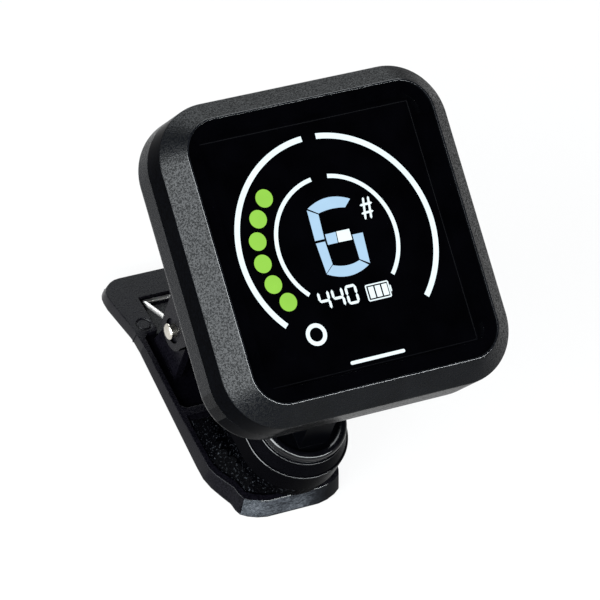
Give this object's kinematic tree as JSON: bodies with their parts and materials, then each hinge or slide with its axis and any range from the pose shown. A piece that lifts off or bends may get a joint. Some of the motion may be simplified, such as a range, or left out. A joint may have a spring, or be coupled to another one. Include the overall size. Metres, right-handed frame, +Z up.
{
  "type": "clip-on tuner",
  "caption": "Clip-on instrument tuner: a tilting square display head on a swivel post, over a sprung headstock clip with ribbed pads.",
  "frame": {"origin": "middle of the bounding box's lowest face, under the clip that the tuner lies on", "axes": "+X to the display's right, +Y from the jaw tips to the thumb plates, +Z up"},
  "size_m": [0.047, 0.0562, 0.0618],
  "materials": {
    "bezel": "fine spark-eroded black",
    "shell": "fine spark-eroded black",
    "window": "polished black, clear over the display",
    "display": "negative segment display, lit marks",
    "light_guide": "clear moulding",
    "foam": "closed-cell adhesive foam",
    "board": "green solder mask",
    "chips": "moulded black",
    "switches": "pressed cover",
    "port_metal": "drawn shell",
    "cell_wrap": "laminate pouch",
    "pickup": "rolled disc",
    "screw_steel": "black oxide",
    "buttons": "polished black",
    "pin_steel": "bright",
    "washers": "natural acetal",
    "stem": "satin black",
    "spring_steel": "bright",
    "collar": "polished black",
    "lever": "satin black",
    "pad": "soft ribbed black",
    "rivet": "nickel plated",
    "spring_wire": "nickel plated wire"
  },
  "bodies": {
    "rear_clip": {"rear_lever": "lever", "rear_pad": "pad", "pivot_rivet": "rivet", "torsion_spring": "spring_wire"},
    "front_jaw": {"front_lever": "lever", "socket_collar": "collar", "front_pad": "pad"},
    "swivel": {"swivel_stem": "stem", "swivel_screw": "screw_steel", "spring_washer": "spring_steel"},
    "head": {"front_bezel": "bezel", "display_window": "window", "window_gasket": "foam", "lcd_panel": "display", "backlight_panel": "light_guide", "main_board": "board", "board_chips": "chips", "key_switches": "switches", "charge_port": "port_metal", "battery_pack": "cell_wrap", "battery_foam": "foam", "piezo_pickup": "pickup", "rear_shell": "shell", "shell_screws": "screw_steel", "tilt_pin": "pin_steel", "tilt_washers": "washers"},
    "power_key": {"power_button": "buttons"},
    "down_key": {"down_button": "buttons"},
    "up_key": {"up_button": "buttons"}
  },
  "joints": [
    {"name": "clip", "type": "hinge", "parent": "rear_clip", "child": "front_jaw", "pos_m": [0, 0.00999, 0.01198], "axis": [-1, 0, 0], "range_deg": [0, 38], "stiffness_Nm_per_rad": 0.15, "springref_deg": -40.11, "deforming": ["torsion_spring"]},
    {"name": "swivel_turn", "type": "hinge", "parent": "front_jaw", "child": "swivel", "pos_m": [0, -0.01286, 0.01309], "axis": [0, -0.1535, 0.9882], "continuous": true},
    {"name": "head_tilt", "type": "hinge", "parent": "swivel", "child": "head", "pos_m": [0, -0.01516, 0.02791], "axis": [1, 0, 0], "range_deg": [-30, 70]},
    {"name": "power_press", "type": "slide", "parent": "head", "child": "power_key", "axis": [0, -0.9039, -0.4278], "range_m": [0, 0.0003], "stiffness_N_per_m": 600, "springref_m": -0.0006},
    {"name": "down_press", "type": "slide", "parent": "head", "child": "down_key", "axis": [0, -0.9039, -0.4278], "range_m": [0, 0.0003], "stiffness_N_per_m": 600, "springref_m": -0.0006},
    {"name": "up_press", "type": "slide", "parent": "head", "child": "up_key", "axis": [0, -0.9039, -0.4278], "range_m": [0, 0.0003], "stiffness_N_per_m": 600, "springref_m": -0.0006}
  ]
}
